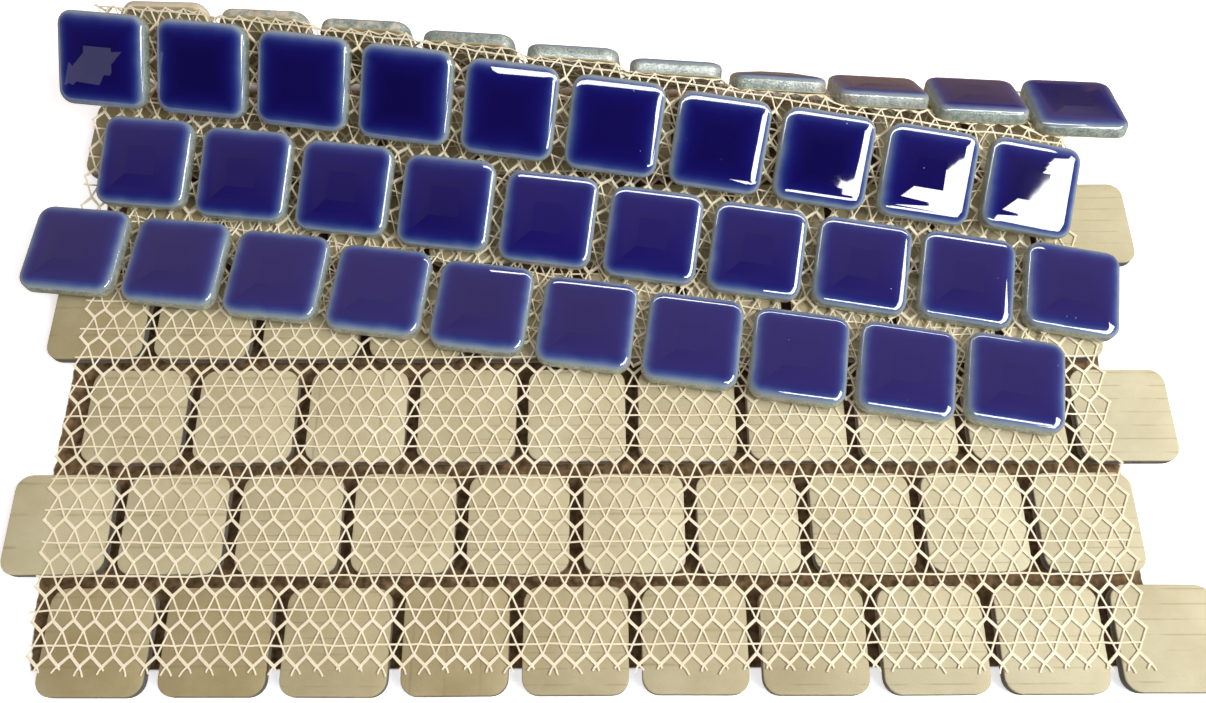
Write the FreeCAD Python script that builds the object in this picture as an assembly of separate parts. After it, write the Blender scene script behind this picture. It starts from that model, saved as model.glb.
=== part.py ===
import FreeCAD, Part
import math
import os

# Mosaic tile sheet: square glazed tiles in brick bond on a knitted net, with its far end
# folded back over it. Millimetres and degrees. While it is being laid out, +X runs along
# the rows, +Y runs from the near row to the fold, and z = 0 is the plane of the backs of
# the rows that lie flat. Those rows lie on their glazed faces, with the net on top.

# Tile: one fired piece with a flat back and a pillowed glazed face
tile_side = 25.4
tile_thickness = 5.0
corner_radius = 4.0
corner_facets = 4
rim_bevel = 1.0
pillow_fall = 0.5

# Layout of the sheet
joint_width = 3.2
tiles_per_row = 10
flat_rows = 6
flap_rows = 3

# Net: one thin skin on the backs of the tiles
net_thickness = 0.3
net_bare_strip = 5.0
net_far_margin = 1.5
net_overhang_left = 5.6
net_margin_right = 1.8

# Fold. Angles are measured in the section across the rows: 0 runs on along the flat rows,
# 90 stands straight up and 180 comes back over them. Left and right are the ends of a row.
spine_angle_left = 63.0
spine_angle_right = 162.0
first_fall_left = 36.0
first_fall_right = 15.5
first_fall_bow = 9.0
fold_rise = 1.3
layer_clearance = 0.6

# In the two joints beside the spine the net runs on from the flatter row and bends close
# to the spine tiles, where it has come off their edges
fold_joint_flat = 3.5
fold_joint_spine = 1.2

# Sideways lean of the columns beyond the fold, as the flap is turned in plan
spine_lean = 3.8
flap_lean_left = 4.8
flap_lean_right = 10.4

pitch = tile_side + joint_width
half_side = tile_side / 2
stagger = pitch / 2
row_span = (tiles_per_row + 0.5) * pitch
fold_line = flat_rows * pitch - joint_width + fold_joint_flat
landing_height = 2 * net_thickness + layer_clearance
net_left = stagger - net_overhang_left
net_right = tiles_per_row * pitch - joint_width - net_margin_right


def vector(x, y, z):
    return FreeCAD.Vector(x, y, z)


def unit(direction):
    return direction / direction.Length


def row_shift(row):
    """Odd rows are set half a pitch to the right of even ones."""
    return stagger if row % 2 else 0.0


def ring(radius, height):
    """Corners of a rounded square at this height, all round corners on the same axes."""
    core = half_side - corner_radius
    points = []
    for quarter, (side_x, side_y) in enumerate(((1, 1), (-1, 1), (-1, -1), (1, -1))):
        for facet in range(corner_facets + 1):
            turn = math.radians(90 * (quarter + facet / corner_facets))
            points.append(vector(
                side_x * core + radius * math.cos(turn), side_y * core + radius * math.sin(turn), height
            ))
    return points


def polygon_face(points):
    return Part.Face(Part.makePolygon(points + points[:1]))


def tile_blank():
    """One tile with the centre of its back at the origin and its glazed face up."""
    rim_height = tile_thickness - pillow_fall
    back = ring(corner_radius, 0)
    bevel_foot = ring(corner_radius, rim_height - rim_bevel)
    bevel_top = ring(corner_radius - rim_bevel, rim_height)
    # the flat middle of the face ends at the axes of the round corners
    middle = ring(0, tile_thickness)[::corner_facets + 1]
    faces = [polygon_face(back), polygon_face(middle)]
    count = len(back)
    for i in range(count):
        j = (i + 1) % count
        for low, high in ((back, bevel_foot), (bevel_foot, bevel_top)):
            faces.append(polygon_face([low[i], low[j], high[j], high[i]]))
        inner = [middle[i // (corner_facets + 1)], middle[j // (corner_facets + 1)]]
        if inner[0] == inner[1]:
            faces.append(polygon_face([bevel_top[i], bevel_top[j], inner[0]]))
        else:
            faces.append(polygon_face([bevel_top[i], bevel_top[j], inner[1], inner[0]]))
    shell = Part.makeShell(faces)
    shell.sewShape()
    return Part.makeSolid(shell)


def row_reach(index):
    """Width of the strip of a row beyond the fold, and how far on it the tiles' middle is."""
    if index == 0:
        return tile_side + 2 * fold_joint_spine, fold_joint_spine + half_side
    if index == 1:
        return fold_joint_flat + tile_side + joint_width / 2, fold_joint_flat + half_side
    return pitch, pitch / 2


def section_angles(share):
    """Angle of each row beyond the fold, at this share of the way along the rows."""
    spine = spine_angle_left + (spine_angle_right - spine_angle_left) * share
    first_fall = first_fall_left + (first_fall_right - first_fall_left) * share
    first_fall += first_fall_bow * 4 * share * (1 - share)
    ridge_height = fold_rise + row_reach(0)[0] * math.sin(math.radians(spine))
    knee_height = ridge_height - row_reach(1)[0] * math.sin(math.radians(first_fall))
    second_fall = math.degrees(math.asin((knee_height - landing_height) / pitch))
    falls = [first_fall, second_fall] + [0] * (flap_rows - 2)
    return [spine] + [180 + fall for fall in falls[:flap_rows]]


def row_step(index, share, angle):
    """The way from one row line to the next, for a row beyond the fold."""
    flap_lean = flap_lean_left + (flap_lean_right - flap_lean_left) * share
    lean = math.radians(spine_lean if index == 0 else flap_lean)
    slope = math.radians(angle)
    return vector(
        -math.sin(lean), math.cos(lean) * math.cos(slope), math.cos(lean) * math.sin(slope)
    ) * row_reach(index)[0]


def row_lines(along):
    """Points where the row lines beyond the fold pass, at this distance along the rows."""
    share = along / row_span
    points = [vector(along, fold_line, fold_rise)]
    for index, angle in enumerate(section_angles(share)):
        points.append(points[-1] + row_step(index, share, angle))
    return points


def strip_frame(row, along):
    """Centre, row direction, column direction and outward normal of a row at this place."""
    if row <= flat_rows:
        centre = vector(along, (row - 1) * pitch + half_side, 0)
        return centre, vector(1, 0, 0), vector(0, 1, 0), vector(0, 0, -1)
    index = row - flat_rows - 1
    step = pitch / 100
    before, here, after = (row_lines(along + shift) for shift in (-step, 0, step))
    # a spine tile lies along the tighter of its two folds: the ridge at left, the hinge at right
    tight = 1 - along / row_span if index == 0 else 0.5
    near_run = after[index] - before[index]
    far_run = after[index + 1] - before[index + 1]
    column = unit(here[index + 1] - here[index])
    run = near_run * (1 - tight) + far_run * tight
    along_row = unit(run - column * run.dot(column))
    outward = column.cross(along_row)
    return here[index] + column * row_reach(index)[1], along_row, column, outward


def tile_centre(row, number):
    """Distance along the rows of a tile's centre, tiles counted from 1."""
    return (number - 1) * pitch + half_side + row_shift(row)


def place_tile(blank, row, number):
    centre, along_row, column, outward = strip_frame(row, tile_centre(row, number))
    tile = blank.copy()
    turn = FreeCAD.Rotation(along_row, column * -1, outward, "XYZ")
    tile.Placement = FreeCAD.Placement(centre, turn)
    return tile


def row_of_tiles(blank, row):
    return [place_tile(blank, row, number) for number in range(1, tiles_per_row + 1)]


def net_point(row, number, along, across):
    """Outer and inner net points on the back of a tile, across from the tile's middle."""
    middle = tile_centre(row, number)
    centre, along_row, column, outward = strip_frame(row, middle)
    outer = centre + along_row * (along - middle) + column * across
    return along, outer, outer - outward * net_thickness


def net_edge(row, across):
    """Net points along one edge of a row, at its tiles' corners and the sides of the net."""
    points = []
    for number in range(1, tiles_per_row + 1):
        middle = tile_centre(row, number)
        first = net_left if number == 1 else middle - half_side
        last = net_right if number == tiles_per_row else middle + half_side
        points.append(net_point(row, number, first, across))
        points.append(net_point(row, number, last, across))
    return points


def net_fold(row):
    """Net points along the line between this row and the next, with the net bent over it."""
    points = []
    count = round((net_right - net_left) / stagger)
    for place in range(count + 1):
        along = net_left + (net_right - net_left) * place / count
        outer = row_lines(along)[row - flat_rows]
        near = strip_frame(row, along)
        far = strip_frame(row + 1, along)
        inward = unit(far[2] - near[2] - near[3] - far[3])
        points.append((along, outer, outer + inward * net_thickness))
    return points


def net_lines():
    """All lines of net points, from the near end of the sheet to its folded end."""
    near_end = [(along, vector(along, net_bare_strip, 0), vector(along, net_bare_strip, net_thickness))
                for along in (net_left, net_right)]
    lines = [near_end, net_edge(flat_rows, half_side)]
    last_row = flat_rows + 1 + flap_rows
    for row in range(flat_rows + 1, last_row + 1):
        lines.append(net_fold(row - 1))
        lines.append(net_edge(row, -half_side))
        far_side = half_side - net_far_margin if row == last_row else half_side
        lines.append(net_edge(row, far_side))
    return lines


def strip_triangles(near, far, side):
    """Triangles between two lines of points whose places along the rows differ."""
    triangles = []
    i = 0
    j = 0
    while i < len(near) - 1 or j < len(far) - 1:
        if j == len(far) - 1 or (i < len(near) - 1 and near[i + 1][0] <= far[j + 1][0]):
            triangles.append((near[i][side], near[i + 1][side], far[j][side]))
            i += 1
        else:
            triangles.append((near[i][side], far[j + 1][side], far[j][side]))
            j += 1
    return triangles


def wall_triangles(path):
    """Wall between the outer and inner net points along one rim of the net."""
    triangles = []
    for start, end in zip(path, path[1:]):
        triangles.append((start[1], end[1], end[2]))
        triangles.append((start[1], end[2], start[2]))
    return triangles


def backing_net():
    lines = net_lines()
    triangles = []
    for near, far in zip(lines, lines[1:]):
        triangles += [(a, c, b) for a, b, c in strip_triangles(near, far, 1)]
        triangles += strip_triangles(near, far, 2)
    triangles += wall_triangles(lines[0])
    triangles += wall_triangles([line[-1] for line in lines])
    triangles += wall_triangles(lines[-1][::-1])
    triangles += wall_triangles([line[0] for line in lines][::-1])
    faces = [polygon_face(list(corners)) for corners in triangles]
    shell = Part.makeShell(faces)
    shell.sewShape()
    return Part.makeSolid(shell).removeSplitter()


def main():
    os.makedirs("parts", exist_ok=True)
    blank = tile_blank()
    nodes = {}
    for row in range(1, flat_rows + 1 + flap_rows + 1):
        nodes[f"tile_row_{row:02d}"] = Part.makeCompound(row_of_tiles(blank, row))
    nodes["backing_net"] = backing_net()

    # the origin is under the middle of the folded sheet, on the level floor
    box = Part.makeCompound(list(nodes.values())).optimalBoundingBox(False, False)
    origin = vector((box.XMin + box.XMax) / 2, (box.YMin + box.YMax) / 2, box.ZMin)
    for name, shape in nodes.items():
        shape.translate(origin * -1)
        shape.exportStep(f"parts/{name}.step")
        print(name, len(shape.Solids), "solids", round(shape.Volume, 1), "mm3", shape.isValid())
    print("origin at", origin)
    print("size", box.XLength, box.YLength, box.ZLength)


main()
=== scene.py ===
import math
import random
import bpy
from mathutils import Matrix, Vector, noise


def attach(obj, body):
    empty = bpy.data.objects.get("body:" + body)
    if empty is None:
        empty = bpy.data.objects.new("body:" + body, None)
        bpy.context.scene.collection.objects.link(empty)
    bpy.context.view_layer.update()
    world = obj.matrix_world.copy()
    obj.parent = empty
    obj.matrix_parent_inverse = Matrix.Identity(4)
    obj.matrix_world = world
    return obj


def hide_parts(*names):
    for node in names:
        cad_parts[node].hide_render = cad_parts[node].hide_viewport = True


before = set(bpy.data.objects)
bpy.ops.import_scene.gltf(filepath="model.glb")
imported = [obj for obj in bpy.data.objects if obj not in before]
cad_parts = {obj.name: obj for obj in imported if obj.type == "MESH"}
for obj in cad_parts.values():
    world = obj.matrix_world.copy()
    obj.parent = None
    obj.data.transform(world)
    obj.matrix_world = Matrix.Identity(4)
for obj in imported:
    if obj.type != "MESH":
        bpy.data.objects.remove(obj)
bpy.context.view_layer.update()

# The flat sheet, in metres. Rows count from the near end, tiles from the left.
sheet = {
    "tileSide": 0.0254,
    "jointWidth": 0.0032,
    "tilesPerRow": 10,
    "flatRows": 6,
    "flapRows": 3,
    "frameOrigin": (0.1440478, 0.09257925, -0.005),  # seen from the sheet's near left corner
}

# The fold, in metres and degrees, as the CAD source lays it out
fold = {
    "spineAngleLeft": 63.0,
    "spineAngleRight": 162.0,
    "firstFallLeft": 36.0,
    "firstFallRight": 15.5,
    "firstFallBow": 9.0,
    "rise": 0.0013,
    "landingHeight": 0.0012,
    "jointOnFlatSide": 0.0035,
    "jointOnSpineSide": 0.0012,
    "spineLean": 3.8,
    "flapLeanLeft": 4.8,
    "flapLeanRight": 10.4,
}

pitch = sheet["tileSide"] + sheet["jointWidth"]
halfSide = sheet["tileSide"] / 2
stagger = pitch / 2
rowSpan = (sheet["tilesPerRow"] + 0.5) * pitch
flatRows = sheet["flatRows"]
spineRow = flatRows + 1
lastRow = spineRow + sheet["flapRows"]
foldLine = flatRows * pitch - sheet["jointWidth"] + fold["jointOnFlatSide"]
frameOrigin = Vector(sheet["frameOrigin"])


def between(left, right, share):
    return left + (right - left) * share


def rowShift(row):
    return stagger if row % 2 else 0.0  # odd rows sit half a pitch to the right


def tileMiddle(row, number):
    return (number - 1) * pitch + halfSide + rowShift(row)


def stripWidth(row):
    if row == spineRow:
        return sheet["tileSide"] + 2 * fold["jointOnSpineSide"]
    if row == spineRow + 1:
        return fold["jointOnFlatSide"] + sheet["tileSide"] + sheet["jointWidth"] / 2
    return pitch


def middleInStrip(row):
    if row == spineRow:
        return fold["jointOnSpineSide"] + halfSide
    if row == spineRow + 1:
        return fold["jointOnFlatSide"] + halfSide
    return pitch / 2


def rowMiddle(row):
    # distance of the tiles' middles from the near edge, on the flat sheet
    if row <= flatRows:
        return (row - 1) * pitch + halfSide
    return foldLine + sum(stripWidth(r) for r in range(spineRow, row)) + middleInStrip(row)


def stripAngles(share):
    spine = between(fold["spineAngleLeft"], fold["spineAngleRight"], share)
    firstFall = between(fold["firstFallLeft"], fold["firstFallRight"], share)
    firstFall += fold["firstFallBow"] * 4 * share * (1 - share)
    ridgeHeight = fold["rise"] + stripWidth(spineRow) * math.sin(math.radians(spine))
    kneeHeight = ridgeHeight - stripWidth(spineRow + 1) * math.sin(math.radians(firstFall))
    secondFall = math.degrees(math.asin((kneeHeight - fold["landingHeight"]) / pitch))
    return [spine, 180 + firstFall, 180 + secondFall, 180]


def rowLines(along):
    # where the lines between the rows beyond the fold pass, at this distance along the rows
    share = along / rowSpan
    flapLean = between(fold["flapLeanLeft"], fold["flapLeanRight"], share)
    points = [Vector((along, foldLine, fold["rise"]))]
    for index, angle in enumerate(stripAngles(share)):
        lean = math.radians(flapLean if index else fold["spineLean"])
        slope = math.radians(angle)
        step = Vector((
            -math.sin(lean), math.cos(lean) * math.cos(slope), math.cos(lean) * math.sin(slope)))
        points.append(points[-1] + step * stripWidth(spineRow + index))
    return points


def stripFrame(row, along):
    # middle, row direction, column direction and glazed side of a row at this place
    if row <= flatRows:
        middle = Vector((along, rowMiddle(row), 0))
        return middle, Vector((1, 0, 0)), Vector((0, 1, 0)), Vector((0, 0, -1))
    index = row - spineRow
    step = pitch / 100
    before, here, after = (rowLines(along + shift) for shift in (-step, 0, step))
    # a spine tile lies along the tighter of its two folds
    tight = 1 - along / rowSpan if row == spineRow else 0.5
    column = (here[index + 1] - here[index]).normalized()
    nearRun = after[index] - before[index]
    farRun = after[index + 1] - before[index + 1]
    run = nearRun * (1 - tight) + farRun * tight
    alongRow = (run - column * run.dot(column)).normalized()
    return here[index] + column * middleInStrip(row), alongRow, column, column.cross(alongRow)


tileFrames = {
    (row, number): stripFrame(row, tileMiddle(row, number))
    for row in range(1, lastRow + 1)
    for number in range(1, sheet["tilesPerRow"] + 1)
}


def deselectAll():
    bpy.ops.object.select_all(action="DESELECT")


def makeActive(piece):
    deselectAll()
    piece.select_set(True)
    bpy.context.view_layer.objects.active = piece


def selectParts(piece, kind, test):
    # selects edges by their middle and direction, or faces by their middle and normal
    bpy.ops.mesh.select_mode(type=kind)
    bpy.ops.mesh.select_all(action="DESELECT")
    bpy.ops.object.mode_set(mode="OBJECT")
    mesh = piece.data
    if kind == "EDGE":
        for edge in mesh.edges:
            start, end = (mesh.vertices[v].co for v in edge.vertices)
            edge.select = test((start + end) / 2, (end - start).normalized())
    else:
        for face in mesh.polygons:
            face.select = test(face.center, face.normal)
    bpy.ops.object.mode_set(mode="EDIT")


def colour(red, green, blue):
    # colours are written as they look on the screen, 0 to 255
    def toLinear(level):
        level /= 255
        return level / 12.92 if level <= 0.04045 else ((level + 0.055) / 1.055) ** 2.4
    return toLinear(red), toLinear(green), toLinear(blue), 1.0


class NodeBoard:
    # the nodes of one material or world, with short calls to add and join them
    def __init__(self, owner, shader="Principled BSDF"):
        owner.use_nodes = True
        self.tree = owner.node_tree
        self.shader = self.tree.nodes.get(shader)

    def fill(self, socket, value):
        if isinstance(value, bpy.types.NodeSocket):
            self.tree.links.new(value, socket)
        else:
            socket.default_value = value

    def add(self, kind, inputs=None, **settings):
        node = self.tree.nodes.new(kind)
        for name, value in settings.items():
            setattr(node, name, value)
        for name, value in (inputs or {}).items():
            self.fill(node.inputs[name], value)
        return node

    def place(self):
        return self.add("ShaderNodeTexCoord").outputs["Object"]

    def attribute(self, name):
        return self.add("ShaderNodeAttribute", attribute_name=name)

    def noise(self, scale, detail=2.0, roughness=0.5, at=None):
        return self.add("ShaderNodeTexNoise", {
            "Vector": at or self.place(), "Scale": scale, "Detail": detail, "Roughness": roughness,
        }).outputs["Fac"]

    def work(self, kind, first, second=0.0):
        return self.add("ShaderNodeMath", {0: first, 1: second}, operation=kind).outputs[0]

    def plus(self, first, second):
        return self.work("ADD", first, second)

    def minus(self, first, second):
        return self.work("SUBTRACT", first, second)

    def times(self, first, second):
        return self.work("MULTIPLY", first, second)

    def remap(self, value, low, high, newLow=0.0, newHigh=1.0, kind="LINEAR"):
        return self.add("ShaderNodeMapRange", {
            "Value": value, "From Min": low, "From Max": high, "To Min": newLow, "To Max": newHigh,
        }, interpolation_type=kind).outputs["Result"]

    def ramp(self, value, stops):
        node = self.add("ShaderNodeValToRGB", {"Fac": value})
        band = node.color_ramp
        while len(band.elements) < len(stops):
            band.elements.new(0.5)
        for element, (position, shade) in zip(band.elements, stops):
            element.position = position
            element.color = shade
        return node.outputs["Color"]

    def mix(self, share, first, second):
        node = self.add("ShaderNodeMix", {0: share, 6: first, 7: second}, data_type="RGBA")
        return node.outputs[2]

    def bump(self, height, distance, strength=1.0, below=None):
        inputs = {"Height": height, "Distance": distance, "Strength": strength}
        if below:
            inputs["Normal"] = below
        return self.add("ShaderNodeBump", inputs).outputs["Normal"]

    def finish(self, **sockets):
        for name, value in sockets.items():
            self.fill(self.shader.inputs[name.replace("_", " ")], value)


# Tile, in metres: a fired square with a flat back and a glazed pillow face
tile = {
    "cornerRadius": 0.004,
    "cornerSegments": 6,
    "backEdge": 0.00045,
    "backEdgeSegments": 2,
    "rimFoot": 0.00267,
    # steps from the foot of the rim to the middle of the face: how far in, and how far up
    "rim": [
        (0.00008, 0.00042), (0.00017, 0.00033), (0.00027, 0.00028), (0.00036, 0.00023),
        (0.00046, 0.00019),
    ],
    "border": [(0.00066, 0.00018), (0.0009, 0.00014), (0.00105, 0.00011)],
    "pillow": [(0.0015, 0.00015), (0.0015, 0.000145), (0.0016, 0.00015)],
    "cornerWeld": 0.0006,  # the shrunken round corners are joined to a point within this reach
    "smoothAngle": 40,
    # how pale the backs are at the ends of row 1, of rows 2 and 3, and of the rows behind: partly
    # the fired tone, partly painted shade that darkens the left ends, most in row 1 and under the
    # flap
    "paleAndLitLeft": (0.16, 0.48, 0.28),
    "paleAndLitRight": (0.68, 0.69, 0.6),
    "paleSpread": 0.1,
    "depths": {7: 0.3, 8: 0.1, 9: 0.7, 10: 0.75},  # how bright the blue of these rows is
    # below zero it paints shade on the sides of the rows that lie face down
    "faceDownShadeDepth": -0.5,
    "depthSpread": 0.2,
    "bareAtFirst": 1.25,  # how bare the sides of the spine tiles are, and how soon that ends
    "bareStep": 0.35,
    "bareSpread": 0.35,
    # the press left few lines on the first tiles of a row, and many on the last ones
    "fewLines": (0.15, 0.34),
    "fewLinesUpTo": 2,
    "manyLines": 0.8,
    "manyLinesFrom": 8,
    "looseTurn": 0.35,
    "looseShift": 0.00012,
    "seed": 11,
}


def makeTileBlank():
    deselectAll()
    foot = tile["rimFoot"]
    slack = 0.0001
    bpy.ops.mesh.primitive_cube_add(
        size=1, location=(0, 0, foot / 2), scale=(sheet["tileSide"], sheet["tileSide"], foot))
    blank = bpy.context.object
    bpy.ops.object.transform_apply(location=True, rotation=False, scale=True)
    bpy.ops.object.mode_set(mode="EDIT")
    selectParts(blank, "EDGE", lambda middle, way: abs(way.z) > 0.9)
    bpy.ops.mesh.bevel(
        offset=tile["cornerRadius"], segments=tile["cornerSegments"], profile=0.5)
    selectParts(blank, "EDGE", lambda middle, way: middle.z < slack and abs(way.z) < 0.1)
    bpy.ops.mesh.bevel(offset=tile["backEdge"], segments=tile["backEdgeSegments"], profile=0.5)
    # the rim and border are drawn in from the foot, until each round corner shrinks to a point
    selectParts(blank, "FACE", lambda middle, normal: normal.z > 0.9 and middle.z > foot - slack)
    for inwards, upwards in tile["rim"] + tile["border"]:
        bpy.ops.mesh.inset(thickness=inwards, depth=upwards)
    bpy.ops.mesh.remove_doubles(threshold=tile["cornerWeld"])
    for inwards, upwards in tile["pillow"]:
        bpy.ops.mesh.inset(thickness=inwards, depth=upwards)
    # the four sloping sides of the face meet each other and its flat middle in crisp lines
    core = halfSide - tile["cornerRadius"] + slack
    top = foot + sum(up for inwards, up in tile["rim"] + tile["border"] + tile["pillow"])

    def isCrisp(middle, way):
        onDiagonal = abs(abs(middle.x) - abs(middle.y)) < slack
        runsDiagonal = abs(abs(way.x) - abs(way.y)) < 0.01
        inFace = middle.z > foot and max(abs(middle.x), abs(middle.y)) < core
        return middle.z > top - slack / 10 or (inFace and onDiagonal and runsDiagonal)

    selectParts(blank, "EDGE", isCrisp)
    bpy.ops.mesh.mark_sharp()
    bpy.ops.mesh.select_all(action="SELECT")
    bpy.ops.mesh.normals_make_consistent(inside=False)
    bpy.ops.object.mode_set(mode="OBJECT")
    blank.data.name = "tileBlank"
    return blank


def markTilePlaces(blank):
    # rimWay runs, in millimetres, from below zero on the side over the rim and in across the face
    mesh = blank.data
    radius = tile["cornerRadius"]
    core = halfSide - radius
    rimTop = tile["rimFoot"] + sum(up for inwards, up in tile["rim"])
    way = mesh.attributes.new("rimWay", "FLOAT", "POINT")
    for index, vertex in enumerate(mesh.vertices):
        x, y = abs(vertex.co.x) - core, abs(vertex.co.y) - core
        outwards = math.hypot(max(x, 0), max(y, 0)) if max(x, y) > 0 else max(x, y)
        way.data[index].value = (radius - outwards - max(0, rimTop - vertex.co.z)) * 1000
    flat = mesh.uv_layers.new(name="tilePlace")
    for loop in mesh.loops:
        at = mesh.vertices[loop.vertex_index].co
        flat.data[loop.index].uv = (
            at.x / sheet["tileSide"] + 0.5, at.y / sheet["tileSide"] + 0.5)


def cobaltGlaze():
    look = {
        # from the foot of the side to the middle of the face, by distance in millimetres
        "fromFoot": [
            (-5, (150, 160, 160)), (-0.9, (146, 160, 168)), (0.1, (134, 150, 168)),
            (0.9, (100, 118, 158)), (1.7, (58, 76, 140)), (2.6, (33, 42, 120)),
            (3.6, (22, 24, 104)), (5, (18, 13, 92)), (8, (14, 9, 77)), (13, (12, 7, 71)),
        ],
        "brightBlue": (24, 15, 106),
        "sideDark": (116, 132, 124),
        "sideMiddle": (150, 163, 155),
        "sidePale": (184, 193, 180),
        "shadedSide": (52, 68, 66),
        "body": (222, 213, 186),
        "rust": (176, 120, 72),
        # how fine each pattern is, in noise scale on metres
        "driftScale": 180,
        "speckScale": 1500,
        "cloudScale": 330,
        "rustScale": 120,
        "waveScale": 110,
        "pitScale": 210.0,
        "grainScale": 2200,
        # how deep the waves, pits and grain are, in metres
        "waveDepth": 0.000025,
        "pitDepth": 0.00008,
        "grainDepth": 0.00014,
        "faceRoughness": 0.035,
        "sideRoughness": 0.42,
    }
    material = bpy.data.materials.new("cobaltGlaze")
    board = NodeBoard(material)
    place = board.place()
    ownTone = board.attribute("tileTone").outputs["Color"]
    tone = board.add("ShaderNodeSeparateColor", {"Color": ownTone}).outputs
    way = board.attribute("rimWay").outputs["Fac"]
    drift = board.remap(board.noise(look["driftScale"], 2, at=place), 0.3, 0.7, -0.22, 0.22)
    drifted = board.plus(way, drift)
    first, last = look["fromFoot"][0][0], look["fromFoot"][-1][0]
    glaze = board.ramp(board.remap(drifted, first, last), [
        ((at - first) / (last - first), colour(*shade)) for at, shade in look["fromFoot"]])
    deep = board.remap(drifted, 1.5, 5)
    brighter = board.times(board.times(deep, tone[0]), 0.85)
    glaze = board.mix(brighter, glaze, colour(*look["brightBlue"]))
    # the side is thin enough for the body to show through in speckles
    speck = board.noise(look["speckScale"], 4, 0.7, at=place)
    cloud = board.noise(look["cloudScale"], 3, 0.6, at=place)
    mottled = board.ramp(board.plus(speck, board.remap(cloud, 0.3, 0.7, -0.15, 0.15)), [
        (0.33, colour(*look["sideDark"])),
        (0.5, colour(*look["sideMiddle"])),
        (0.66, colour(*look["sidePale"])),
    ])
    bare = board.remap(board.plus(cloud, tone[1]), 0.95, 1.25)
    side = board.mix(bare, mottled, colour(*look["body"]))
    rusty = board.remap(board.noise(look["rustScale"], 2, at=place), 0.56, 0.72, 0, 0.28)
    side = board.mix(rusty, side, colour(*look["rust"]))
    # painted shade: the sides of the rows that lie face down are painted darker, as shade in the
    # joints between them
    shaded = board.remap(tone[0], -0.2, 0.1, 0.75, 0)
    side = board.mix(shaded, side, colour(*look["shadedSide"]))
    sideShare = board.remap(drifted, -0.5, -1.5, kind="SMOOTHSTEP")
    shade = board.mix(sideShare, glaze, side)
    waves = board.bump(board.noise(look["waveScale"], 1, 0.3, at=place), look["waveDepth"])
    pits = board.add("ShaderNodeTexVoronoi", {"Vector": place, "Scale": look["pitScale"]})
    pitHeight = board.remap(pits.outputs["Distance"], 0.015, 0.04)
    pitted = board.bump(pitHeight, look["pitDepth"], 0.5, waves)
    grain = board.times(board.noise(look["grainScale"], 2, at=place), sideShare)
    grained = board.bump(grain, look["grainDepth"], 1.0, pitted)
    board.finish(
        Base_Color=shade,
        Roughness=board.remap(sideShare, 0, 1, look["faceRoughness"], look["sideRoughness"]),
        IOR=1.55,
        Coat_Weight=1.0,
        Coat_Roughness=0.03,
        Coat_IOR=1.5,
        Normal=grained,
        Coat_Normal=grained,
    )
    return material


def firedBack():
    look = {
        "pale": (226, 220, 185),
        "dark": (157, 141, 97),
        "grooveAndShade": (141, 127, 92),
        "speck": (140, 122, 88),
        "fewLines": 3.1,  # faint lines from the press, across one tile
        "manyLines": 6.9,
        "wobbleScale": 90,
        "wearScale": 110,
        "cloudScale": 70,
        "speckScale": 2600,
        "grainScale": 1400,
        "grooveDepth": 0.00012,
        "grainDepth": 0.00006,
    }
    material = bpy.data.materials.new("firedBack")
    board = NodeBoard(material)
    place = board.place()
    ownTone = board.attribute("tileTone").outputs
    tone = board.add("ShaderNodeSeparateColor", {"Color": ownTone["Color"]}).outputs
    tilePlace = board.add("ShaderNodeUVMap", uv_map="tilePlace").outputs["UV"]
    flat = board.add("ShaderNodeSeparateXYZ", {"Vector": tilePlace}).outputs
    # the lines run one way or the other, and there are few or many of them
    turned = board.work("GREATER_THAN", tone[2], 0.12)
    across = board.plus(flat["X"], board.times(board.minus(flat["Y"], flat["X"]), turned))
    count = board.remap(tone[2], 0.35, 0.36, look["fewLines"], look["manyLines"])
    lines = board.plus(board.times(across, count), 0.22)
    wobble = board.remap(board.noise(look["wobbleScale"], 2, at=place), 0, 1, -0.03, 0.03)
    offLine = board.minus(board.work("FRACT", board.plus(lines, wobble)), 0.5)
    grooveAndShade = board.remap(board.work("ABSOLUTE", offLine), 0.07, 0.0)
    worn = board.remap(board.noise(look["wearScale"], 2, at=place), 0.4, 0.56)
    grooveAndShade = board.times(grooveAndShade, worn)
    cloud = board.noise(look["cloudScale"], 4, 0.6, at=place)
    # the pale share carries the fired tone and the painted shade towards the left ends
    paleAndLitShare = board.plus(ownTone["Alpha"], board.remap(cloud, 0.3, 0.7, 0.12, -0.12))
    clay = board.mix(paleAndLitShare, colour(*look["dark"]), colour(*look["pale"]))
    # painted shade: the press lines are painted darker in their grooves, on top of the real groove
    # in the bump
    clay = board.mix(board.times(grooveAndShade, 0.45), clay, colour(*look["grooveAndShade"]))
    speck = board.remap(board.noise(look["speckScale"], 2, at=place), 0.62, 0.75, 0, 0.25)
    clay = board.mix(speck, clay, colour(*look["speck"]))
    grain = board.bump(board.noise(look["grainScale"], 3, at=place), look["grainDepth"], 0.7)
    height = board.minus(1.0, grooveAndShade)
    board.finish(
        Base_Color=clay,
        Roughness=0.72,
        Normal=board.bump(height, look["grooveDepth"], 0.5, grain),
    )
    return material


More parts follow.
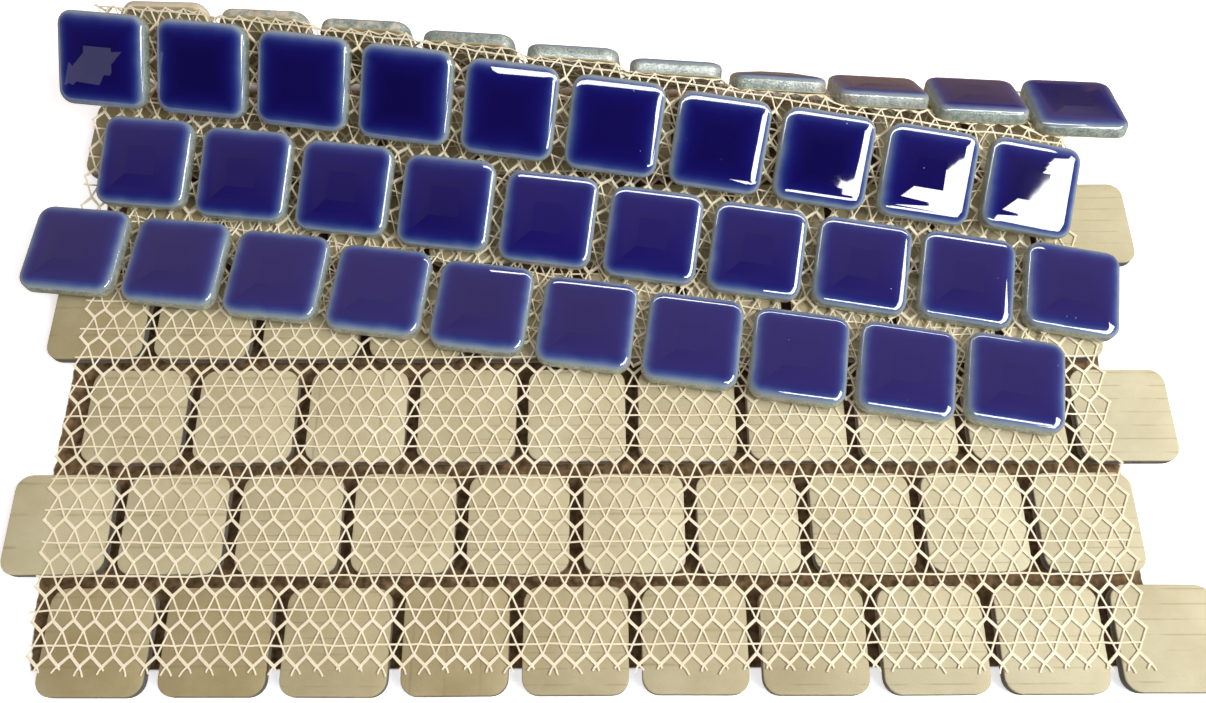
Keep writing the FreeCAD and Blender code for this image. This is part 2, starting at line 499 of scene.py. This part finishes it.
def creamThread():
    look = {
        "pale": (252, 242, 214),
        "dark": (240, 227, 194),
        "fibre": (212, 192, 150),
        "cloudScale": 60,
        "fibreScale": 2400,
        "fibreDepth": 0.00008,
    }
    material = bpy.data.materials.new("creamThread")
    board = NodeBoard(material)
    place = board.place()
    cloud = board.remap(board.noise(look["cloudScale"], 3, at=place), 0.35, 0.65)
    cream = board.mix(cloud, colour(*look["pale"]), colour(*look["dark"]))
    fibre = board.noise(look["fibreScale"], 3, 0.6, at=place)
    fibreShare = board.remap(fibre, 0.55, 0.8, 0, 0.35)
    cream = board.mix(fibreShare, cream, colour(*look["fibre"]))
    board.finish(
        Base_Color=cream,
        Roughness=0.6,
        Sheen_Weight=0.25,
        Normal=board.bump(fibre, look["fibreDepth"], 0.6),
    )
    return material


def toneOfTile(row, number, dice):
    # what makes each tile its own: depth of blue (below zero it paints shade on the sides), bare
    # sides, lines from the press, and how pale the back is, partly with painted shade
    place = min(row // 2, 2)
    share = (number / sheet["tilesPerRow"]) ** 2
    # painted shade: the backs get darker towards the left end of the row, on top of their fired
    # tone
    pale = between(tile["paleAndLitLeft"][place], tile["paleAndLitRight"][place], share)
    pale += tile["paleSpread"] * dice.uniform(-1, 1)
    depth = tile["depths"].get(row, tile["faceDownShadeDepth"])
    depth += tile["depthSpread"] * dice.uniform(-1, 1)
    if number <= tile["fewLinesUpTo"]:
        lines = between(*tile["fewLines"], dice.random())
    elif number < tile["manyLinesFrom"]:
        lines = dice.random()
    else:
        lines = tile["manyLines"]
    # the first spine tiles show more of the bare body on their sides
    bare = 0.0
    if row == spineRow:
        bare = max(0.0, tile["bareAtFirst"] - tile["bareStep"] * number)
    bare += tile["bareSpread"] * dice.random()
    return depth, bare, lines, min(max(pale, 0.0), 1.0)


def layRow(blank, row, dice):
    copies = []
    for number in range(1, sheet["tilesPerRow"] + 1):
        middle, alongRow, column, outward = tileFrames[row, number]
        piece = blank.copy()
        piece.data = blank.data.copy()
        bpy.context.collection.objects.link(piece)
        shift = alongRow * dice.uniform(-1, 1) + column * dice.uniform(-1, 1)
        turn = Matrix.Rotation(math.radians(dice.uniform(-1, 1) * tile["looseTurn"]), 3, "Z")
        axes = Matrix((alongRow, -column, outward)).transposed() @ turn
        at = middle + shift * tile["looseShift"] - frameOrigin
        piece.matrix_world = Matrix.Translation(at) @ axes.to_4x4()
        shade = piece.data.attributes.new("tileTone", "FLOAT_COLOR", "POINT")
        tone = toneOfTile(row, number, dice)
        shade.data.foreach_set("color", tone * len(piece.data.vertices))
        copies.append(piece)
    deselectAll()
    for piece in copies:
        piece.select_set(True)
    bpy.context.view_layer.objects.active = copies[0]
    bpy.ops.object.transform_apply(location=True, rotation=True, scale=True)
    bpy.ops.object.join()
    piece = copies[0]
    piece.name = piece.data.name = f"tileRow{row:02d}"
    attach(piece, "root")
    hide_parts(f"tile_row_{row:02d}")
    return piece


def makeTiles():
    blank = makeTileBlank()
    markTilePlaces(blank)
    blank.data.materials.append(cobaltGlaze())
    blank.data.materials.append(firedBack())
    for face in blank.data.polygons:
        face.material_index = 1 if face.center.z < tile["backEdge"] * 0.95 else 0
    makeActive(blank)
    bpy.ops.object.shade_smooth_by_angle(
        angle=math.radians(tile["smoothAngle"]), keep_sharp_edges=True)
    dice = random.Random(tile["seed"])
    rows = [layRow(blank, row, dice) for row in range(1, lastRow + 1)]
    bpy.data.objects.remove(blank)
    print("tiles laid:", len(rows), "rows,", len(rows[0].data.polygons), "faces a row")
    return rows


# Net, in metres: knitted threads in rows along the sheet. A row is a zigzag between upper and
# lower knots, two legs from each lower knot to the next row, and one thread laid straight
# across the legs. A thread has a half width and a half height.
overhangLeft = 0.0056
marginRight = 0.0018
rowWidth = sheet["tilesPerRow"] * pitch - sheet["jointWidth"]
net = {
    "left": stagger - overhangLeft,
    "cells": 52.5,
    "width": rowWidth - stagger + overhangLeft - marginRight,
    "nearKnots": 0.0093,
    "rowHeight": 0.008267,
    "rows": 34,
    "zigzagDepth": 0.30,
    "laidShare": 0.59,  # where the laid thread crosses the legs
    "laidSpread": 0.025,
    "zigzagThread": (0.0004, 0.00025),
    "legThread": (0.00024, 0.0002),
    "laidThread": (0.00024, 0.00018),
    "knot": 0.00056,
    "knotSpread": (0.85, 1.2),
    # how high each of these lies above the tiles' backs
    "zigzagLift": 0.00027,
    "legLift": 0.00023,
    "laidLift": 0.0003,
    "knotLift": 0.00029,
    "endLift": 0.00026,
    "raggedEnd": (0.0006, 0.002),  # how far a laid thread runs past the left side
    "raggedSlip": 0.0004,
    "cutEnd": (0.0008, 0.0024),  # how long the cut ends at the near edge are
    "cutSpread": (0.35, 0.8),
    "nearPinch": (0.0035, -0.003, 0.045),  # how the sides draw in at the near edge, and how far
    "sides": 5,
    "cornerLimit": 0.65,  # a thread is widened at its corners, down to this cosine
    "smoothAngle": 80,
    "wander": 0.00028,
    "wanderScale": 60,
    "jitter": 0.00011,
    "seed": 5,
}


def backPoint(row, along, across, lift):
    # the tiles' backs in this row; between two tiles the net runs straight from edge to edge
    slot = (along - halfSide - rowShift(row)) / pitch
    number = min(max(int(math.floor(slot)) + 1, 1), sheet["tilesPerRow"])
    over = along - tileMiddle(row, number) - halfSide
    up = across - rowMiddle(row)

    def onTile(n, sideways):
        middle, alongRow, column, outward = tileFrames[row, n]
        return middle + alongRow * sideways + column * up - outward * lift

    if over <= 0 or number == sheet["tilesPerRow"]:
        return onTile(number, along - tileMiddle(row, number))
    if over >= sheet["jointWidth"]:
        return onTile(number + 1, along - tileMiddle(row, number + 1))
    share = over / sheet["jointWidth"]
    return onTile(number, halfSide).lerp(onTile(number + 1, -halfSide), share)


def foldedPoint(along, across, lift):
    # where a point of the flat net lies on the folded sheet
    if across <= rowMiddle(flatRows) + halfSide:
        return Vector((along, across, lift)) - frameOrigin
    row = flatRows
    while row < lastRow and across > rowMiddle(row + 1) - halfSide:
        row += 1
    farEdge = rowMiddle(row) + halfSide
    if across <= farEdge or row == lastRow:
        return backPoint(row, along, across, lift) - frameOrigin
    # in a joint it bends round from one row to the next
    nearEdge = rowMiddle(row + 1) - halfSide
    share = (across - farEdge) / (nearEdge - farEdge)
    start = backPoint(row, along, farEdge, lift)
    end = backPoint(row + 1, along, nearEdge, lift)
    near = stripFrame(row, along)
    far = stripFrame(row + 1, along)
    inward = (far[2] - near[2] - near[3] - far[3]).normalized()
    bend = rowLines(along)[row - flatRows] + inward * lift
    point = start * (1 - share) ** 2 + bend * 2 * share * (1 - share) + end * share ** 2
    return point - frameOrigin


class ThreadMesh:
    # gathers closed tubes and knots of the net in one list of points and faces
    def __init__(self):
        self.points = []
        self.faces = []

    def tube(self, line, thread):
        # line holds (along, across, lift) points; each ring of the tube is folded by point
        wide, high = thread
        sides = net["sides"]
        first = len(self.points)
        last = len(line) - 1
        for index, (along, across, lift) in enumerate(line):
            into = out = None
            if index:
                before = line[index - 1]
                into = Vector((along - before[0], across - before[1])).normalized()
            if index < last:
                after = line[index + 1]
                out = Vector((after[0] - along, after[1] - across)).normalized()
            way = (into + out).normalized() if into and out else (into or out)
            widen = 1 / max(way.dot(into or out), net["cornerLimit"])
            for side in range(sides):
                turn = math.tau * side / sides + math.pi / 2
                sideways = math.cos(turn) * wide * widen
                self.points.append(foldedPoint(
                    along - way.y * sideways, across + way.x * sideways,
                    lift + math.sin(turn) * high))
        for ring in range(last):
            for side in range(sides):
                a = first + ring * sides + side
                b = first + ring * sides + (side + 1) % sides
                self.faces.append((a, b, b + sides, a + sides))
        self.faces.append(tuple(range(first, first + sides))[::-1])
        self.faces.append(tuple(range(len(self.points) - sides, len(self.points))))

    def knot(self, along, across, size):
        first = len(self.points)
        lift = net["knotLift"]
        corners = (1, 0, 0), (0, 1, 0), (-1, 0, 0), (0, -1, 0), (0, 0, 0.75), (0, 0, -0.75)
        for x, y, z in corners:
            self.points.append(foldedPoint(along + x * size, across + y * size, lift + z * size))
        for i in range(4):
            j = (i + 1) % 4
            self.faces.append((first + i, first + j, first + 4))
            self.faces.append((first + j, first + i, first + 5))


def loosened(along, across, dice):
    # the knit wanders a little over the sheet, and each knot is a little off its place
    scale = net["wanderScale"]
    slow = noise.noise_vector(Vector((along * scale, across * scale, 3.0))) * net["wander"]
    pinchLeft, pinchRight, reach = net["nearPinch"]
    pinch = between(pinchLeft, pinchRight, (along - net["left"]) / net["width"])
    pinch *= max(0, 1 - across / reach)
    return (along + slow.x + pinch + dice.uniform(-1, 1) * net["jitter"],
            across + slow.y + dice.uniform(-1, 1) * net["jitter"])


def placeKnots(dice):
    cell = net["width"] / net["cells"]
    count = int(net["cells"]) + 1
    upper = []
    lower = []
    for row in range(net["rows"]):
        height = net["nearKnots"] + row * net["rowHeight"]
        down = height - net["zigzagDepth"] * net["rowHeight"]
        upper.append([loosened(net["left"] + i * cell, height, dice) for i in range(count)])
        lower.append([loosened(net["left"] + (i + 0.5) * cell, down, dice) for i in range(count)])
    return upper, lower


def knitRow(threads, tops, bottoms, dice):
    lift = net["zigzagLift"]
    zigzag = []
    for top, bottom in zip(tops, bottoms):
        zigzag += [(*top, lift), (*bottom, lift)]
    threads.tube(zigzag, net["zigzagThread"])
    for top, bottom in zip(tops, bottoms):
        size = net["knot"] * dice.uniform(*net["knotSpread"])
        threads.knot(*top, size)
        threads.knot(*bottom, size)


def layLegs(threads, starts, ends, beyondFold, dice):
    # two legs from each lower knot, and the thread that is laid across them
    lift = net["legLift"]
    spread = net["laidSpread"]
    laid = []
    for i, start in enumerate(starts):
        for end in ends[i:i + 2]:
            line = [(*start, lift), (*end, lift)]
            if beyondFold:
                line.insert(1, ((start[0] + end[0]) / 2, (start[1] + end[1]) / 2, lift))
            threads.tube(line, net["legThread"])
            share = net["laidShare"] + dice.uniform(-spread, spread)
            laid.append((
                start[0] + (end[0] - start[0]) * share, start[1] + (end[1] - start[1]) * share,
                net["laidLift"]))
    laid.sort()
    slip = net["raggedSlip"]
    ragged = (laid[0][0] - dice.uniform(*net["raggedEnd"]),
              laid[0][1] + dice.uniform(-slip, slip), net["laidLift"])
    threads.tube([ragged] + laid, net["laidThread"])


def spreadCutEnds(threads, knots, dice):
    # the near edge is cut, so two short ends spread below each of the last knots
    lift = net["zigzagLift"]
    for along, across in knots:
        for side in (-1, 1):
            length = dice.uniform(*net["cutEnd"])
            spread = side * length * dice.uniform(*net["cutSpread"])
            threads.tube([
                (along, across, lift),
                (along + spread * 0.6, across - length * 0.5, lift),
                (along + spread, across - length, net["endLift"]),
            ], net["legThread"])


def knitNet():
    dice = random.Random(net["seed"])
    noise.seed_set(net["seed"])  # without it the knit wanders another way each run
    threads = ThreadMesh()
    upper, lower = placeKnots(dice)
    for row in range(net["rows"]):
        knitRow(threads, upper[row], lower[row], dice)
        if row:
            beyondFold = upper[row][0][1] > foldLine - net["rowHeight"]
            layLegs(threads, lower[row], upper[row - 1], beyondFold, dice)
    spreadCutEnds(threads, lower[0], dice)

    mesh = bpy.data.meshes.new("knittedNet")
    mesh.from_pydata([tuple(point) for point in threads.points], [], threads.faces)
    mesh.update()
    mesh.materials.append(creamThread())
    piece = bpy.data.objects.new("knittedNet", mesh)
    bpy.context.collection.objects.link(piece)
    makeActive(piece)
    bpy.ops.object.mode_set(mode="EDIT")
    bpy.ops.mesh.select_all(action="SELECT")
    bpy.ops.mesh.normals_make_consistent(inside=False)
    bpy.ops.object.mode_set(mode="OBJECT")
    bpy.ops.object.shade_smooth_by_angle(angle=math.radians(net["smoothAngle"]))
    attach(piece, "root")
    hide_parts("backing_net")
    surface = sum(face.area for face in mesh.polygons)
    triangles = sum(len(face.vertices) - 2 for face in mesh.polygons)
    print("net knitted:", triangles, "triangles, surface", round(surface, 5))
    return piece


studio = {
    "cameraAt": (0.00177, -0.11668, 0.26746),
    "cameraTurn": (23.079, -0.424, -0.265),
    "lens": 31.91,
    "sensorWidth": 36,
    # lamps: where they hang, how they are turned, how big and strong they are, what they do
    "lamps": {
        "window": (
            (0.8056, -0.2601, 0.9402), (-5.6, 37.05, -29.47), (0.34, 1.05), 16.4,
            "light and reflection"),
        "fill": ((-0.2, 0.1, 1.3), (0.0, 0.0, 0.0), (1.4, 1.4), 3.9, "light"),
        "ridgeStrip": (
            (0.061, 0.0592, 0.055), (0.0, 0.0, 0.0), (0.182, 0.008), 0.055, "reflection"),
        "nearStrip": (
            (0.11, -0.058, 0.12), (0.0, 0.0, 0.0), (0.11, 0.019), 0.09, "reflection"),
        "leftPatch": (
            (-0.1496, 0.0657, 0.0356), (86.4, 0.2, -6.1), (0.0185, 0.018), 0.0005,
            "reflection"),
    },
    # the room that the glaze sees
    "horizon": (0.95, 0.95, 0.95, 1),
    "rearCeiling": (0.40, 0.32, 0.30, 1),
    "frontCeiling": (0.02, 0.015, 0.02, 1),
    "rearWall": (0.12, 0.09, 0.1, 1),
    "below": (0.24, 0.16, 0.12, 1),
    "white": (1, 1, 1, 1),
    "floorSize": 12,
    "floorDrop": 0.0001,
    "floorPaint": (0.93, 0.93, 0.93, 1),
    # the brown ground that shows through the net and the joints: left, right, near and far side
    "ground": (-0.138, 0.139, -0.0859, 0.087),
    "groundPale": (150, 124, 92),
    "groundDark": (100, 80, 54),
    "groundCloudScale": 500,
    "groundSoftEdge": 0.0003,
    "groundDrawnIn": (0.04, 0.004),  # over what length its near corners draw in, and how far
    "groundRagged": 0.001,
    "groundRaggedScale": 260,
    "groundFade": 0.06,
    "groundShorter": (0.02, 0.13, 0.008),  # from where to where it ends sooner, and how much
}


def setUpCamera(scene):
    camera = bpy.data.objects.new("camera", bpy.data.cameras.new("camera"))
    scene.collection.objects.link(camera)
    camera.location = studio["cameraAt"]
    camera.rotation_euler = [math.radians(angle) for angle in studio["cameraTurn"]]
    camera.data.lens = studio["lens"]
    camera.data.sensor_width = studio["sensorWidth"]
    camera.data.sensor_fit = "HORIZONTAL"
    camera.data.clip_start = 0.01
    scene.camera = camera


def hangLamps(scene):
    for name, (at, turn, size, power, use) in studio["lamps"].items():
        lamp = bpy.data.objects.new(name, bpy.data.lights.new(name, "AREA"))
        scene.collection.objects.link(lamp)
        lamp.data.shape = "RECTANGLE"
        lamp.data.size, lamp.data.size_y = size
        lamp.data.energy = power
        lamp.location = at
        lamp.rotation_euler = [math.radians(angle) for angle in turn]
        lamp.visible_diffuse = "light" in use
        lamp.visible_glossy = "reflection" in use
        lamp.visible_camera = False


def paintRoom(scene):
    scene.world = bpy.data.worlds.new("room")
    board = NodeBoard(scene.world, "Background")
    way = board.add("ShaderNodeTexCoord").outputs["Generated"]
    way = board.add("ShaderNodeSeparateXYZ", {"Vector": way}).outputs

    def rise(axis, low, high):
        return board.remap(way[axis], low, high, kind="SMOOTHSTEP")

    # pale walls all round, a dim ceiling that is darkest over the camera, a warm dark below
    ceiling = board.mix(rise("Y", -0.45, 0.55), studio["frontCeiling"], studio["rearCeiling"])
    walls = board.mix(rise("Y", 0.2, 0.7), studio["horizon"], studio["rearWall"])
    room = board.mix(rise("Z", 0.06, 0.3), walls, ceiling)
    room = board.mix(rise("Z", -0.02, 0.0), studio["below"], room)
    # only the glaze sees the room, the camera sees plain white
    ray = board.add("ShaderNodeLightPath").outputs
    board.finish(Color=board.mix(ray["Is Camera Ray"], room, studio["white"]), Strength=1.0)


def floorPaint():
    material = bpy.data.materials.new("paleFloor")
    board = NodeBoard(material)
    place = board.place()
    flat = board.add("ShaderNodeSeparateXYZ", {"Vector": place}).outputs
    left, right, near, far = studio["ground"]
    length, depth = studio["groundDrawnIn"]
    drawnIn = board.remap(flat["Y"], near, near + length, depth, 0)
    leftOf = board.minus(board.minus(flat["X"], left), drawnIn)
    beside = board.work("MINIMUM", leftOf, board.minus(right, flat["X"]))
    slip = studio["groundRagged"]
    ragged = board.remap(board.noise(studio["groundRaggedScale"], 2), 0, 1, -slip, slip)
    # it fades out behind the fold, and sooner at right, where the fold leans forward over it
    start, end, shorter = studio["groundShorter"]
    sooner = board.remap(flat["X"], start, end, far, far - shorter)
    behind = board.times(board.minus(sooner, flat["Y"]), studio["groundFade"])
    beyond = board.work("MINIMUM", board.minus(flat["Y"], near), behind)
    inside = board.work("MINIMUM", board.plus(beside, ragged), beyond)
    soft = studio["groundSoftEdge"]
    clear = board.remap(inside, soft, -soft, kind="SMOOTHSTEP")
    cloud = board.remap(board.noise(studio["groundCloudScale"], 3), 0.35, 0.65)
    earth = board.mix(cloud, colour(*studio["groundPale"]), colour(*studio["groundDark"]))
    # the camera sees the clear floor as white, and whiter further away
    ray = board.add("ShaderNodeLightPath").outputs
    seen = board.work("MAXIMUM", ray["Is Camera Ray"], ray["Is Glossy Ray"])
    seen = board.work("MAXIMUM", seen, ray["Is Transmission Ray"])
    away = board.add("ShaderNodeVectorMath", {0: place}, operation="LENGTH").outputs["Value"]
    glow = board.times(board.times(seen, clear), board.remap(away, 0.4, 1.5, 0.6, 1.0))
    board.finish(
        Base_Color=board.mix(clear, earth, studio["floorPaint"]),
        Roughness=0.9,
        Specular_IOR_Level=0.0,
        Emission_Color=studio["white"],
        Emission_Strength=glow,
    )
    return material


def layFloor():
    deselectAll()
    bpy.ops.mesh.primitive_plane_add(
        size=studio["floorSize"], location=(0, 0, -studio["floorDrop"]))
    floor = bpy.context.object
    floor.name = "floor"
    floor.data.materials.append(floorPaint())
    floor.visible_glossy = False


def setUpStudio():
    scene = bpy.context.scene
    setUpCamera(scene)
    hangLamps(scene)
    paintRoom(scene)
    layFloor()
    scene.view_settings.view_transform = "Standard"
    print("studio set")


rows = makeTiles()
netPiece = knitNet()
setUpStudio()
